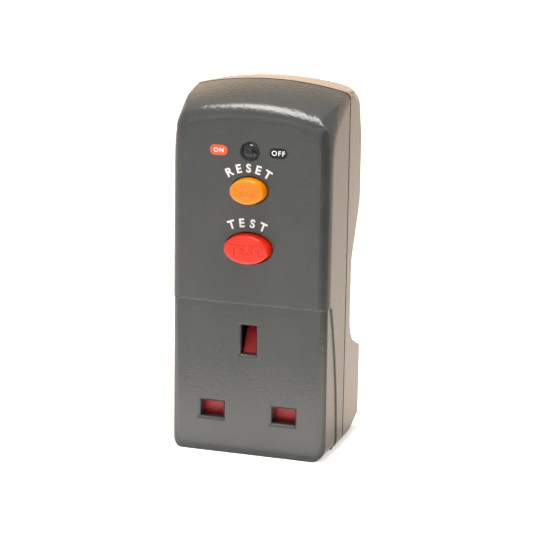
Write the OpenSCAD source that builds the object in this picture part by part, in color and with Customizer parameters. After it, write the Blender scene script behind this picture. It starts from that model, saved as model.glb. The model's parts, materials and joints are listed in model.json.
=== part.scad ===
// Plug-in residual current adaptor with a 13 A socket outlet on its front.
// The origin is midway between the line and neutral pins, on the seat that meets the wall socket.
// X runs to the right seen from the front, Y runs into the wall and Z runs up. Sizes are in millimetres.

/* [Case] */
// Width of the case across its sides
case_w = 48.2; // [48:0.1:52]
// Depth of the front cover, from the front face to the parting line
front_d = 20; // [19:0.5:22]
// Depth of the rear cover, from the parting line to the plug seat
rear_d = 20; // [19.5:0.5:24]
// Height of the crown above the indicator window
crown_rise = 18.2; // [17:0.1:22]
// Distance from the line and neutral pins down to the bottom edge
base_h = 12.9; // [12.6:0.1:15]
// Wall thickness of both covers
wall = 2; // [1.6:0.1:2.2]
// Radius of the arched top, seen from the front
arch_r = 100; // [80:1:140]
// Slope of the front cover's top, in degrees
brow_slope = 16.5; // [10:0.5:18]
// Radius along the top front edge
brow_r = 5; // [2:0.5:7]
// Radius of the upright front edges
edge_r = 3.8; // [2:0.1:4.5]
// Radius of the bottom corners
corner_r = 3.7; // [2:0.1:4.5]
// Radius of the top corners at the parting line
top_corner_r = 2.5; // [1:0.1:3.5]
// Radius of the top corners at the front face
face_corner_r = 8; // [4:0.5:9]

/* [Rear cover] */
// Draft of the rear cover's sides, in degrees
rear_draft = 2.2; // [1:0.1:4]
// Slope of the rear cover's top, in degrees
rear_top_slope = 3.5; // [2:0.5:10]
// Slope of the rear cover's bottom, in degrees
rear_floor_slope = 15; // [8:1:18]
// Height of the top of the wide part of the seat
seat_h = 13; // [11:0.5:14]
// Depth of the hollow behind the middle of the case, in front of the seat
hollow_d = 14.5; // [13.5:0.5:15]
// Height of the lower end of the hollow
hollow_low_h = 19; // [18:0.5:22]
// Height of the sloped back between the hollow and the upper back
back_rise = 17; // [14:0.5:19]
// Depth of the upper back, in front of the seat
upper_back_d = 5.5; // [4:0.5:6]
// How far below the RESET button the upper back begins
upper_back_drop = 7.7; // [6.7:0.1:10]
// Radius round the rear edges
rear_edge_r = 2; // [1:0.5:3]
// Radius of the top corners at the upper back
rear_corner_r = 7.5; // [3:0.5:8]

/* [Socket outlet] */
// Distance between the line and neutral pins
pin_pitch = 22.2; // [22.2:0.1:22.4]
// Height of the earth pin above the line and neutral pins
earth_h = 22.2; // [22.2:0.1:22.4]
// Width of the line and neutral apertures
live_hole_w = 7.2; // [7:0.1:7.4]
// Height of the line and neutral apertures
live_hole_h = 4.8; // [4.6:0.1:5]
// Width of the earth aperture
earth_hole_w = 4.8; // [4.6:0.1:5]
// Height of the earth aperture
earth_hole_h = 8.8; // [8.6:0.1:9]
// Chamfer round the apertures
hole_chamfer = 0.5; // [0.3:0.1:1]
// Height of the step above the socket panel
step_h = 33.3; // [32.5:0.1:35]
// Depth of the step at the top of the socket panel
step_d = 0.7; // [0.4:0.1:0.8]
// Depth of the step on the sides of the socket panel
step_side_d = 0.4; // [0.3:0.1:0.8]
// Depth of the step at the bottom of the socket panel
step_low_d = 0.3; // [0.2:0.1:0.4]
// Depth at which the panel's side crease meets the bottom
crease_d = 13.4; // [12:0.1:15]
// Radius of the side crease
crease_r = 135; // [120:1:160]

/* [Plug pins] */
// Width of the line and neutral pins
live_pin_w = 6.35; // [6.22:0.01:6.48]
// Thickness of the pins
pin_thick = 3.97; // [3.9:0.01:4.05]
// Length of the line and neutral pins beyond the seat
live_pin_l = 17.7; // [17.2:0.1:18.2]
// Height of the earth pin's section
earth_pin_w = 7.95; // [7.82:0.01:8.05]
// Length of the earth pin beyond the seat
earth_pin_l = 22.7; // [22.2:0.1:23.2]
// Length of the insulating sleeves
sleeve_l = 9.3; // [8:0.1:9.5]
// Thickness of the insulating sleeves
sleeve_thick = 0.5; // [0.4:0.05:0.6]

/* [Controls] */
// Height of the TEST button above the step
test_rise = 16.9; // [16:0.1:19]
// Width of the TEST button
test_w = 14; // [12:0.1:15]
// Height of the TEST button's oval
test_tall = 8.9; // [8:0.1:10]
// Travel of the TEST button
test_travel = 2; // [1.5:0.1:2.2]
// Height of the RESET button above the TEST button
reset_rise = 17.1; // [16:0.1:19]
// Width of the RESET button
reset_w = 10.8; // [9:0.1:12]
// Height of the RESET button's oval
reset_tall = 7.7; // [7:0.1:9]
// Travel of the RESET button
reset_travel = 3; // [2:0.1:3]
// How far both buttons stand out of the front face
button_proud = 3.6; // [3.2:0.1:4]
// Height of the indicator window above the RESET button
window_rise = 11.5; // [10.9:0.1:13]
// Diameter of the indicator window
window_dia = 5.2; // [4.6:0.1:5.6]
// How far the window's dome stands out of the front face
dome_rise = 0.65; // [0.4:0.05:0.8]

/* [Mechanism] */
// Travel of the contact carriage
contact_travel = 2.5; // [2:0.1:2.6]
// Travel of the trip plunger
plunger_travel = 2.5; // [2:0.1:2.5]
// Travel of the shutter
shutter_travel = 7; // [6.9:0.1:7.2]
// Outer diameter of the transformer core
core_dia = 16; // [14:0.5:16.5]
// Diameter of the trip plunger
plunger_dia = 4; // [3.5:0.1:4.2]
// Diameter of the bobbin's flanges
bobbin_dia = 10; // [9:0.1:10.4]

/* [Fits] */
// Gap between parts that slide past each other
slide_gap = 0.3; // [0.25:0.05:0.4]
// Radial gap of a shaft in its guide
guide_gap = 0.08; // [0.05:0.01:0.1]
// Gap round parts that are pressed or clipped into place
seat_gap = 0.05; // [0.02:0.01:0.08]

/* [Hidden] */
$fn = 64;

// Chords in each rounded corner
arc_steps = 6;
// Overrun of cutting shapes past the faces that they cut
over = 1;

// Places of the case
half_w = case_w / 2;
case_d = front_d + rear_d;
front_y = -case_d;
parting_y = -rear_d;
test_h = step_h + test_rise;
reset_h = test_h + reset_rise;
window_h = reset_h + window_rise;
crown_h = window_h + crown_rise;
arch_z = crown_h - arch_r;
upper_back_h = reset_h - upper_back_drop;
hollow_top_h = upper_back_h - back_rise;
skin_d = wall + 0.6;
lip_l = 1.6;
lip_thick = 1;
hollow_r = 9;
rear_brow_r = 3;
plug_boss_w = case_w - 8;
plug_boss_top_w = 21.2;

// Case screws, at [x, z], and the bosses that take them
screw_x = half_w - 4.9;
low_screw_h = 9;
top_screw_h = crown_h - 11;
screw_dia = 2.9;
screw_head_dia = 5.4;
screw_head_l = 2.2;
screw_bite = 9;
screw_slot_w = 0.8;
screw_seat_t = front_d + 7;
boss_dia = 6;
head_boss_dia = 7.4;
screw_places = [for (x = [-screw_x, screw_x], z = [low_screw_h, top_screw_h]) [x, z]];

// Depths behind the front face
shutter_t = 5;
shutter_thick = 2;
base_plate_t = front_d;
base_plate_thick = 2;
ear_half = 4;
frame_t = 12;
frame_thick = 2;
frame_w = case_w - 11.8;
board_thick = 1.6;

// Buttons
flange_t = skin_d + slide_gap;
flange_thick = 1.4;
flange_rim = 1;
stem_dia = 3.6;
button_back_t = flange_t + flange_thick;
face_taper = 0.7;
face_edge_r = 0.5;

// Seats of the pins inside the rear cover
carrier_t = case_d - 10;
carrier_w = pin_pitch + live_pin_w + 1.8;
carrier_foot = 6;
carrier_back_t = case_d - wall;
pin_head_thick = 2;
earth_web_t = 25;
strip = 0.8;
jaw_gap = pin_thick + 0.25;

// Contact carriage at rest, contacts open
carriage_t = frame_t + frame_thick + contact_travel + strip + slide_gap;
carriage_thick = 3;
carriage_low_h = reset_h - 6.7;
carriage_top_h = reset_h + 4.7;
pole_x = half_w - 11.1;
tip_dia = 3;
tip_l = 1.4;
closed_gap = 0.1;
fixed_strip_l = 7;
load_h = reset_h - 8.7;
supply_h = reset_h + 3.3;
guide_x = pole_x - 6;
guide_h = reset_h - 3.2;
guide_dia = 3;
spring_pocket = 2;
contact_spring_dia = guide_dia + 1.7;

// Latch and trip coil
latch_t = carriage_t + carriage_thick + slide_gap + 0.3;
latch_thick = 1.2;
latch_w = 8;
coil_t = latch_t + latch_thick / 2;
latch_top_h = reset_h + 2.9;
collar_h = carriage_top_h + 0.6;
collar_thick = 0.8;
neck_dia = 1.8;
yoke_h = collar_h + collar_thick + plunger_travel + 1.2;
yoke_thick = 1;
board_t = coil_t + bobbin_dia / 2 + yoke_thick + 0.2;
yoke_w = bobbin_dia + 1;
bobbin_h = yoke_h + yoke_thick;
bobbin_l = crown_h - wall - 5.5 - bobbin_h;
pole_l = 1.4;

// Indicator drum
drum_t = 8.2;
drum_r = 3.3;
drum_l = 8;
drum_pivot_dia = 1.6;
ear_thick = 1.6;
ear_dia = 5;
band_angle = 105;
band_half = 36;
band_thick = 0.6;

// Transformer
core_h = 7;
core_bore = core_dia - 8;
winding_thick = 0.9;
core_t = 13.5;
shelf_h = test_h - 6.4;
shelf_thick = 1.4;
shelf_front_t = 8;
shelf_w = 22;
shelf_reach = 8.5;
wire_slot_w = 11;
wire_slot_h = 6;
wire_r = 1;

// Springs, as wire diameters
spring_wire = 0.6;
fine_wire = 0.4;

// Colours
case_grey = [0.30, 0.30, 0.29];
moulding_cream = [0.86, 0.83, 0.74];
copper = [0.78, 0.50, 0.30];
brass = [0.80, 0.66, 0.36];
steel = [0.70, 0.71, 0.73];
shutter_red = [0.66, 0.13, 0.15];

// Y of a depth behind the front face
function at(depth) = front_y + depth;

// Corner p between a and b as an arc of radius r
function corner_arc(a, p, b, r) = r == 0 ? [p] :
    let (
        u = (a - p) / norm(a - p),
        v = (b - p) / norm(b - p),
        half = acos(u * v) / 2,
        centre = p + (u + v) / norm(u + v) * r / sin(half),
        start = p + u * r / tan(half) - centre,
        end = p + v * r / tan(half) - centre,
        from = atan2(start.y, start.x),
        turn = (atan2(end.y, end.x) - from + 540) % 360 - 180
    )
    [for (i = [0:arc_steps]) let (a = from + turn * i / arc_steps) centre + r * [cos(a), sin(a)]];

// Closed outline through corners given as [x, y, radius]
function rounded(corners) =
    let (n = len(corners))
    [for (i = [0:n - 1])
        let (a = corners[(i + n - 1) % n], p = corners[i], b = corners[(i + 1) % n])
        each corner_arc([a.x, a.y], [p.x, p.y], [b.x, b.y], p.z)];

// Rectangle of size w by h with rounded corners, round a centre
function rounded_box(w, h, r, centre = [0, 0]) = rounded([
    [centre.x - w / 2, centre.y - h / 2, r],
    [centre.x + w / 2, centre.y - h / 2, r],
    [centre.x + w / 2, centre.y + h / 2, r],
    [centre.x - w / 2, centre.y + h / 2, r]]);

// Oval outline round a centre
function oval(w, h, centre = [0, 0], steps = 48) =
    [for (i = [0:steps - 1]) centre + [w / 2 * cos(360 * i / steps), h / 2 * sin(360 * i / steps)]];

// Smooth path through a few points
function spline_point(a, b, c, d, s) =
    0.5 * (2 * b + (c - a) * s + (2 * a - 5 * b + 4 * c - d) * s * s + (3 * b - a - 3 * c + d) * s * s * s);
function spline(p, steps = 3) =
    let (n = len(p))
    [for (i = [0:n - 2], k = [0:steps - 1])
        spline_point(p[max(i - 1, 0)], p[i], p[i + 1], p[min(i + 2, n - 1)], k / steps),
     p[n - 1]];

// Helix along Z, from 0 to l
function helix(r, l, turns, steps = 10) =
    [for (i = [0:turns * steps]) let (a = 360 * i / steps) [r * cos(a), r * sin(a), l * i / (turns * steps)]];

// Outline seen from the front, as a solid between two depths
module slab(from, to) {
    translate([0, at(to), 0]) rotate([90, 0, 0]) linear_extrude(to - from) children();
}

// Profile of y and z, as a solid across the case
module across(w, x = 0) {
    translate([x - w / 2, 0, 0]) rotate([90, 0, 90]) linear_extrude(w) children();
}

// Round bar along Y at [x, z] between two depths
module bar(place, dia, from, to) {
    translate([place.x, at(to), place.y]) rotate([90, 0, 0]) cylinder(d = dia, h = to - from);
}

// Block round a place [x, z] between two depths
module block(place, w, h, from, to) {
    translate([place.x - w / 2, at(from), place.y - h / 2]) cube([w, to - from, h]);
}

// Skin over rings of points, closed at both ends
module skin(rings) {
    n = len(rings);
    sides = len(rings[0]);
    walls = [for (i = [0:n - 2], k = [0:sides - 1])
        let (a = i * sides + k, b = i * sides + (k + 1) % sides)
        each [[a, a + sides, b], [b, a + sides, b + sides]]];
    ends = [[for (k = [0:sides - 1]) k], [for (k = [sides - 1:-1:0]) (n - 1) * sides + k]];
    polyhedron([for (ring = rings) each ring], concat(walls, ends), convexity = 10);
}

// Tube swept along a path
module tube(path, r, sides = 6) {
    n = len(path);
    lean = [0.31, 0.87, 0.38];
    skin([for (i = [0:n - 1])
        let (
            d = path[min(i + 1, n - 1)] - path[max(i - 1, 0)],
            w = d / norm(d),
            u = cross(lean, w) / norm(cross(lean, w)),
            v = cross(w, u)
        )
        [for (k = [0:sides - 1]) path[i] + r * (cos(360 * k / sides) * u + sin(360 * k / sides) * v)]]);
}

// Coil spring along Z
module coil(dia, wire, l, turns) {
    translate([0, 0, wire / 2]) tube(helix((dia - wire) / 2, l - wire, turns), wire / 2);
}

// Coil spring along Y at [x, z] between two depths
module coil_back(place, dia, wire, from, to, turns) {
    translate([place.x, at(to), place.y]) rotate([90, 0, 0]) coil(dia, wire, to - from, turns);
}

// Arched top: a body of revolution whose profile is given as [radius, depth behind the front face]
module arched_top(profile) {
    translate([0, front_y, arch_z]) rotate([-90, 0, 0]) rotate_extrude($fn = 180) polygon(profile);
}

// Outline of the case from the front, open at the top
function case_outline(inset) =
    let (r = max(corner_r - inset, 1))
    rounded([
        [-half_w + inset, -base_h + inset, r],
        [half_w - inset, -base_h + inset, r],
        [half_w - inset, crown_h + over, 0],
        [-half_w + inset, crown_h + over, 0]]);

// Height at which the arched top meets the side walls, at the parting line
function eaves_h(inset) = arch_z + sqrt(pow(arch_r - inset, 2) - pow(half_w - inset, 2));

// Bar along the sloping top whose upper corners are rounded where the top meets the side walls.
// At the parting line it stands above the top by the lift.
module rounded_eaves(inset, slope, corner, lift = 0) {
    half = half_w - inset;
    ridge = half * half / sqrt(pow(arch_r - inset, 2) - half * half);
    r = max(corner - inset, 0.5);
    reach = 2 * crown_h;
    translate([0, parting_y, eaves_h(inset) + lift]) rotate([90 + slope, 0, 0]) translate([0, 0, -reach])
        linear_extrude(2 * reach) polygon(rounded([
            [-half, -reach, 0],
            [half, -reach, 0],
            [half, 0, r],
            [0, ridge * cos(slope), 0],
            [-half, 0, r]]));
}

// Sloping top whose corners grow rounder from the parting line over a length along the depth
module growing_eaves(inset, slope, corner, depth) {
    lift = corner - top_corner_r;
    rounded_eaves(inset, sign(slope) * atan(tan(abs(slope)) + lift / depth), corner, lift);
}

// Front cover as a solid, set in from its sides, and from its front face
module front_mass(inset, face) {
    end_t = front_d + (inset > 0 ? over : 0);
    r = max(edge_r - inset, 1);
    intersection() {
        slab(face, end_t) polygon(case_outline(inset));
        translate([0, 0, -base_h - over])
            linear_extrude(crown_h + base_h + 2 * over)
                polygon(rounded([
                    [-half_w + inset, at(end_t + over), 0],
                    [half_w - inset, at(end_t + over), 0],
                    [half_w - inset, at(face), r],
                    [-half_w + inset, at(face), r]]));
        arched_top(rounded([
            [0, end_t + over, 0],
            [arch_r - inset + (end_t + over - front_d) * tan(brow_slope), end_t + over, 0],
            [arch_r - inset - (front_d - face) * tan(brow_slope), face, max(brow_r - inset, 1)],
            [0, face, 0]]));
        rounded_eaves(inset, brow_slope, top_corner_r);
        growing_eaves(inset, brow_slope, face_corner_r, front_d);
    }
}

// Body of the socket panel: the case set in by the step, which fades towards the bottom
module panel_mass() {
    intersection() {
        slab(0, front_d) polygon(rounded([
            [-half_w + step_low_d, -base_h, corner_r],
            [half_w - step_low_d, -base_h, corner_r],
            [half_w - step_side_d, step_h, 0],
            [-half_w + step_side_d, step_h, 0]]));
        across(case_w) polygon([
            [at(step_low_d), -base_h],
            [at(front_d), -base_h],
            [at(front_d), step_h],
            [at(step_d), step_h]]);
        translate([0, 0, -base_h - over])
            linear_extrude(step_h + base_h + 2 * over)
                polygon(rounded([
                    [-half_w - over, at(front_d), 0],
                    [half_w + over, at(front_d), 0],
                    [half_w - step_low_d, at(step_low_d), edge_r],
                    [-half_w + step_low_d, at(step_low_d), edge_r]]));
    }
}

// Zone that the socket panel takes up, bounded by the step and the side crease
module panel_zone() {
    across(case_w + 2 * over) intersection() {
        translate([at(crease_d) - crease_r, -base_h]) circle(crease_r, $fn = 180);
        translate([front_y - over, -base_h - over])
            square([front_d, step_h + base_h + over]);
    }
}

// Aperture at [x, z] with a chamfered mouth, cut through to a depth
module aperture(place, w, h, to) {
    block(place, w, h, -over, to);
    mouth = hole_chamfer + over;
    translate([place.x, 0, place.y]) intersection() {
        across(w + 2 * mouth) polygon([
            [at(step_d + hole_chamfer), -h / 2],
            [at(step_d - over), -h / 2 - mouth],
            [at(step_d - over), h / 2 + mouth],
            [at(step_d + hole_chamfer), h / 2]]);
        translate([0, 0, -h]) linear_extrude(2 * h) polygon([
            [-w / 2, at(step_d + hole_chamfer)],
            [-w / 2 - mouth, at(step_d - over)],
            [w / 2 + mouth, at(step_d - over)],
            [w / 2, at(step_d + hole_chamfer)]]);
    }
}

line_place = [pin_pitch / 2, 0];
neutral_place = [-pin_pitch / 2, 0];
live_places = [line_place, neutral_place];
earth_place = [0, earth_h];
frame_post_x = half_w - 8.6;
frame_post_places = [for (side = [-1, 1])
    each [[side * frame_post_x, shelf_h + 4.4], [side * (frame_post_x + 1), window_h + 1.2]]];
frame_post_dia = 5;
collar_wall = 1;
frame_screw_dia = 2.4;
frame_screw_bite = 5;

// Hole through the front wall for a button
module button_hole(z, w, h) {
    slab(-over, skin_d + over) polygon(oval(w + 2 * slide_gap, h + 2 * slide_gap, [0, z]));
}

// Holes for the three plug pins between two depths
module pin_holes(from, to) {
    live_w = live_pin_w + 2 * seat_gap;
    thick = pin_thick + 2 * seat_gap;
    for (p = live_places) block(p, live_w, thick, from, to);
    block(earth_place, thick, earth_pin_w + 2 * seat_gap, from, to);
}

// Front moulding with the socket panel, button holes, window and inner posts
module front_cover() {
    color(case_grey) difference() {
        union() {
            difference() {
                front_mass(0, 0);
                difference() {
                    panel_zone();
                    panel_mass();
                }
                front_mass(wall, skin_d);
            }
            for (p = screw_places) intersection() {
                bar(p, boss_dia, skin_d - over, front_d);
                front_mass(wall / 2, wall / 2);
            }
            for (p = frame_post_places) bar(p, frame_post_dia, skin_d - over, frame_t);
            for (p = live_places)
                block(p, live_hole_w + 2 * collar_wall, live_hole_h + 2 * collar_wall,
                    skin_d - over, shutter_t - slide_gap);
        }
        for (p = live_places) aperture(p, live_hole_w, live_hole_h, shutter_t);
        aperture(earth_place, earth_hole_w, earth_hole_h, skin_d + over);
        button_hole(test_h, test_w, test_tall);
        button_hole(reset_h, reset_w, reset_tall);
        bar([0, window_h], window_dia + 2 * seat_gap, -over, skin_d + over);
        for (p = screw_places) bar(p, screw_dia + 2 * seat_gap, front_d - screw_bite - over, front_d + over);
        for (p = frame_post_places)
            bar(p, frame_screw_dia + 2 * seat_gap, frame_t - frame_screw_bite - over, frame_t + over);
    }
}

// Side profile of the rear cover in y and z
function rear_profile(inset) = rounded([
    [parting_y - over, -base_h + inset - over * tan(rear_floor_slope), 0],
    [-inset, -base_h + inset + rear_d * tan(rear_floor_slope), rear_edge_r],
    [-inset, seat_h - inset, rear_edge_r + 1],
    [-hollow_d - inset, hollow_low_h - inset, hollow_r],
    [-hollow_d - inset, hollow_top_h + inset, hollow_r],
    [-upper_back_d - inset, upper_back_h + inset, hollow_r],
    [-upper_back_d - inset, crown_h + over, 0],
    [parting_y - over, crown_h + over, 0]]);

// Rear cover without its plug boss, set in from every outer face
module rear_mass(inset) {
    start_t = front_d - (inset > 0 ? over : 0);
    back_t = case_d - upper_back_d - inset;
    tuck = rear_d * tan(rear_draft);
    r = max(rear_edge_r - inset, 0.5);
    back_low_r = upper_back_h - arch_z - 3;
    intersection() {
        slab(start_t, case_d) polygon(case_outline(inset));
        translate([0, 0, -base_h - over])
            linear_extrude(crown_h + base_h + 2 * over)
                polygon(rounded([
                    [-half_w + inset, parting_y, 0],
                    [-half_w + inset, parting_y - over, 0],
                    [half_w - inset, parting_y - over, 0],
                    [half_w - inset, parting_y, 0],
                    [half_w - inset - tuck, -inset, r],
                    [-half_w + inset + tuck, -inset, r]]));
        across(case_w + 2 * over) polygon(rear_profile(inset));
        arched_top(rounded([
            [0, front_d - over, 0],
            [arch_r - inset, front_d - over, 0],
            [arch_r - inset, front_d, 0],
            [arch_r - inset - (back_t - front_d) * tan(rear_top_slope), back_t, rear_brow_r],
            [back_low_r, back_t, 0],
            [back_low_r, case_d, 0],
            [0, case_d, 0]]));
        rounded_eaves(inset, -rear_top_slope, top_corner_r);
        growing_eaves(inset, -rear_top_slope, rear_corner_r, rear_d - upper_back_d - rear_edge_r);
    }
}

// Boss that carries the seat up round the earth pin, narrowing to the top
function plug_boss(inset) =
    let (wide = plug_boss_w / 2 - inset, narrow = plug_boss_top_w / 2 - inset, top_h = earth_h + 11 - inset)
    rounded([
        [-wide, 0, 0],
        [wide, 0, 0],
        [wide, seat_h - 2, 3],
        [narrow, top_h, 4],
        [-narrow, top_h, 4],
        [-wide, seat_h - 2, 3]]);

// Ring that follows the inside of the case between two depths, between two distances in from the outside
module case_ring(from, to, outer, inner) {
    drop = (front_d - from) * tan(brow_slope);
    slab(from, to) difference() {
        intersection() {
            polygon(case_outline(outer));
            translate([0, arch_z]) circle(arch_r - outer - drop, $fn = 180);
        }
        intersection() {
            polygon(case_outline(inner));
            translate([0, arch_z]) circle(arch_r - inner - drop, $fn = 180);
        }
    }
}

// Lip on the rear cover that lines it up inside the front cover, cut away at the screws
module lip() {
    inner = wall + slide_gap + lip_thick;
    difference() {
        union() {
            case_ring(front_d - lip_l, front_d + lip_l, wall + slide_gap, inner);
            case_ring(front_d, front_d + lip_l, wall / 2, inner);
        }
        for (p = screw_places) bar(p, boss_dia + 2 * slide_gap, front_d - lip_l - over, front_d);
        block([0, low_screw_h], case_w - 2 * wall, 2 * (ear_half + slide_gap),
            front_d - lip_l - over, front_d + lip_l + over);
    }
}

board_half_w = half_w - 6.1;
board_low_h = upper_back_h - 1;
board_shoulder_h = top_screw_h - 5;
board_top_h = crown_h - 7;
board_neck = screw_x - 5.2;
board_peg_places = [for (side = [-1, 1], z = [board_low_h + 3, board_shoulder_h - 3])
    [side * (board_half_w - 3.5), z]];
board_peg_dia = 2.2;
board_peg_proud = 0.6;

// Rear moulding with the plug seat, the hollow behind the middle and the bosses for the screws
module rear_cover() {
    upper_inner_t = case_d - upper_back_d - wall;
    color(case_grey) difference() {
        union() {
            difference() {
                union() {
                    rear_mass(0);
                    slab(case_d - hollow_d - over, case_d) polygon(plug_boss(0));
                }
                rear_mass(wall);
                slab(front_d - over, case_d - wall) polygon(plug_boss(wall));
            }
            lip();
            for (p = screw_places) intersection() {
                bar(p, head_boss_dia, p.y == low_screw_h ? base_plate_t + base_plate_thick : front_d, case_d);
                rear_mass(wall / 2);
            }
            for (p = board_peg_places) {
                bar(p, board_peg_dia + 2, board_t + board_thick, upper_inner_t + over);
                bar(p, board_peg_dia, board_t - board_peg_proud, upper_inner_t);
            }
        }
        for (p = screw_places) {
            bar(p, screw_dia + 2 * slide_gap, front_d - over, case_d + over);
            bar(p, screw_head_dia + 2 * slide_gap, screw_seat_t, case_d + over);
        }
        pin_holes(carrier_back_t - over, case_d + over);
    }
}

// Screws that hold the two covers together, put in from the back
module case_screws() {
    head_t = screw_seat_t + screw_head_l;
    slot_l = screw_head_dia - 1;
    color(steel) for (p = screw_places) difference() {
        union() {
            bar(p, screw_dia, front_d - screw_bite, screw_seat_t);
            bar(p, screw_head_dia, screw_seat_t, head_t);
        }
        block(p, slot_l, screw_slot_w, screw_seat_t + screw_head_l / 2, head_t + over);
        block(p, screw_slot_w, slot_l, screw_seat_t + screw_head_l / 2, head_t + over);
    }
}

// Clear window with a domed face and a flange behind the wall
module indicator_lens() {
    dome_dia = window_dia - 0.6;
    dome_r = (pow(dome_dia / 2, 2) + pow(dome_rise, 2)) / (2 * dome_rise);
    color([0.9, 0.92, 0.94, 0.5]) union() {
        bar([0, window_h], window_dia, 0, skin_d + over);
        intersection() {
            bar([0, window_h], dome_dia, -dome_rise - over, skin_d);
            translate([0, at(dome_r - dome_rise), window_h]) sphere(dome_r);
        }
        bar([0, window_h], window_dia + 2.6, skin_d, skin_d + 1);
    }
}

// Oval button that narrows to a flat face with a rounded edge, with a flange behind the wall and a stem.
// Its rings are given as [distance in from the oval, height above the front face].
module push_button(z, w, h, stem_end_t) {
    place = [0, z];
    rings = concat(
        [[0, -flange_t - flange_thick / 2], [0, 0]],
        [for (a = [0:22.5:90])
            [face_taper + face_edge_r * (1 - cos(a)), button_proud - face_edge_r * (1 - sin(a))]]);
    skin([for (ring = rings)
        [for (p = oval(w - 2 * ring.x, h - 2 * ring.x, place)) [p.x, at(-ring.y), p.y]]]);
    slab(flange_t, button_back_t) polygon(oval(w + 2 * flange_rim, h + 2 * flange_rim, place));
    bar(place, stem_dia, button_back_t - over, stem_end_t);
}

module test_button() {
    color([0.90, 0.22, 0.16]) union() push_button(test_h, test_w, test_tall, frame_t + frame_thick + 0.5);
}

// The RESET stem ends in a head behind a groove, where the latch takes hold
module reset_button() {
    color([0.95, 0.55, 0.12]) difference() {
        union() push_button(reset_h, reset_w, reset_tall, board_t - reset_travel - 0.4);
        difference() {
            bar([0, reset_h], stem_dia + over, latch_t - 1.4, latch_t - 0.2);
            bar([0, reset_h], stem_dia - 1.2, latch_t - 2, latch_t);
        }
    }
}

module test_spring() {
    color(steel) coil_back([0, test_h], stem_dia + 3, spring_wire, button_back_t, frame_t, 5);
}

module reset_spring() {
    color(steel) coil_back([0, reset_h], stem_dia + 3, spring_wire, button_back_t, frame_t, 5);
}

// Strip behind the frame that the TEST stem pushes
module test_leaf() {
    back_t = frame_t + frame_thick;
    gap_t = back_t + 0.5 + test_travel + slide_gap;
    color(copper) across(4) polygon([
        [at(back_t), test_h + 8], [at(back_t), test_h + 5], [at(gap_t), test_h + 3],
        [at(gap_t), test_h - 2.4], [at(gap_t + strip), test_h - 2.4], [at(gap_t + strip), test_h + 3.4],
        [at(back_t + strip), test_h + 5.4], [at(back_t + strip), test_h + 8]]);
}

blade_h = live_hole_h + 1.6;
blade_w = 2 * (pin_pitch / 2 + live_hole_w / 2 + 0.6);
ramp_low_h = earth_h - 4;
ramp_top_h = ramp_low_h + shutter_travel;
ramp_back_t = 9;
ramp_foot = 0.7;
column_w = 8;
tab_h = 10;
tab_thick = 2;
spring_t = 10;

// Slide that closes the line and neutral apertures until an earth pin pushes its ramp down
module shutter() {
    back_t = shutter_t + shutter_thick;
    color(shutter_red) union() {
        block([0, 0], blade_w, blade_h, shutter_t, back_t);
        block([0, (ramp_low_h - blade_h / 2) / 2], column_w, ramp_low_h + blade_h / 2, shutter_t, back_t);
        across(earth_hole_w - slide_gap) polygon([
            [at(skin_d + slide_gap), ramp_low_h - ramp_foot],
            [at(skin_d + slide_gap), ramp_low_h],
            [at(ramp_back_t - 1.8), ramp_top_h],
            [at(ramp_back_t), ramp_top_h],
            [at(ramp_back_t), ramp_low_h - ramp_foot]]);
        block([0, tab_h + tab_thick / 2], 5, tab_thick, shutter_t + over, spring_t + 2.6);
    }
}

spring_shelf_h = -8;
spring_shelf_w = 6;
spring_shelf_thick = 1.2;
spring_dia = 4;

module shutter_spring() {
    color(steel) translate([0, at(spring_t), spring_shelf_h])
        coil(spring_dia, fine_wire, tab_h - spring_shelf_h, 9);
}

live_box = [live_pin_w + 2.6, jaw_gap + 2 * strip + 2.4];
earth_box = [jaw_gap + 2 * strip + 2.4, earth_pin_w + 2.6];
box_wall = 1;
live_case = live_box + 2 * box_wall * [1, 1];
earth_case = earth_box + 2 * box_wall * [1, 1];
base_plate_w = pin_pitch + 9.8;
base_foot = 9;
spine_w = 14;
tab_w = 3;
tab_top_h = 8;
live_box_t = shutter_t + shutter_thick + 1.2;
earth_box_t = ramp_back_t + 0.8;
earth_back_t = earth_web_t + strip;

// Moulding behind the shutter, with a chamber for each contact
module socket_base() {
    plate_top_h = low_screw_h + ear_half;
    plate_back_t = base_plate_t + base_plate_thick;
    shelf_from_t = spring_t - spring_dia / 2 - 0.6;
    color(moulding_cream) difference() {
        union() {
            slab(base_plate_t, plate_back_t) {
                polygon(rounded_box(base_plate_w, plate_top_h + base_foot, 1,
                    [0, (plate_top_h - base_foot) / 2]));
                polygon(rounded_box(2 * screw_x + ear_half, 2 * ear_half, 2, [0, low_screw_h]));
                polygon(rounded_box(spine_w, earth_h + 16, 2, [0, (earth_h - 2) / 2]));
            }
            for (p = live_places)
                block(p, live_case.x, live_case.y, live_box_t, base_plate_t + over);
            block(earth_place, earth_case.x, earth_case.y, earth_box_t, earth_back_t);
            translate([-spring_shelf_w / 2, at(shelf_from_t), spring_shelf_h - spring_shelf_thick])
                cube([spring_shelf_w, base_plate_t + over - shelf_from_t, spring_shelf_thick]);
        }
        for (p = live_places)
            block(p, live_box.x, live_box.y, live_box_t - over, base_plate_t);
        block(earth_place, earth_box.x, earth_box.y, earth_box_t - over, earth_back_t + over);
        for (p = screw_places)
            if (p.y == low_screw_h)
                bar(p, screw_dia + 2 * slide_gap, base_plate_t - over, plate_back_t + over);
        for (p = live_places)
            block(p + [0, live_box.y / 2], tab_w + 2 * seat_gap, 2 * (box_wall + over),
                base_plate_t - strip - seat_gap, base_plate_t);
    }
}

// Two spring jaws joined by a web, for a pin of section w by jaw_gap
module jaws(w, from, to) {
    for (side = [-1, 1])
        translate([0, 0, side * (jaw_gap + strip) / 2]) block([0, 0], w, strip, from, to);
    block([0, 0], w, jaw_gap + 2 * strip, to - strip, to);
}

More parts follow.
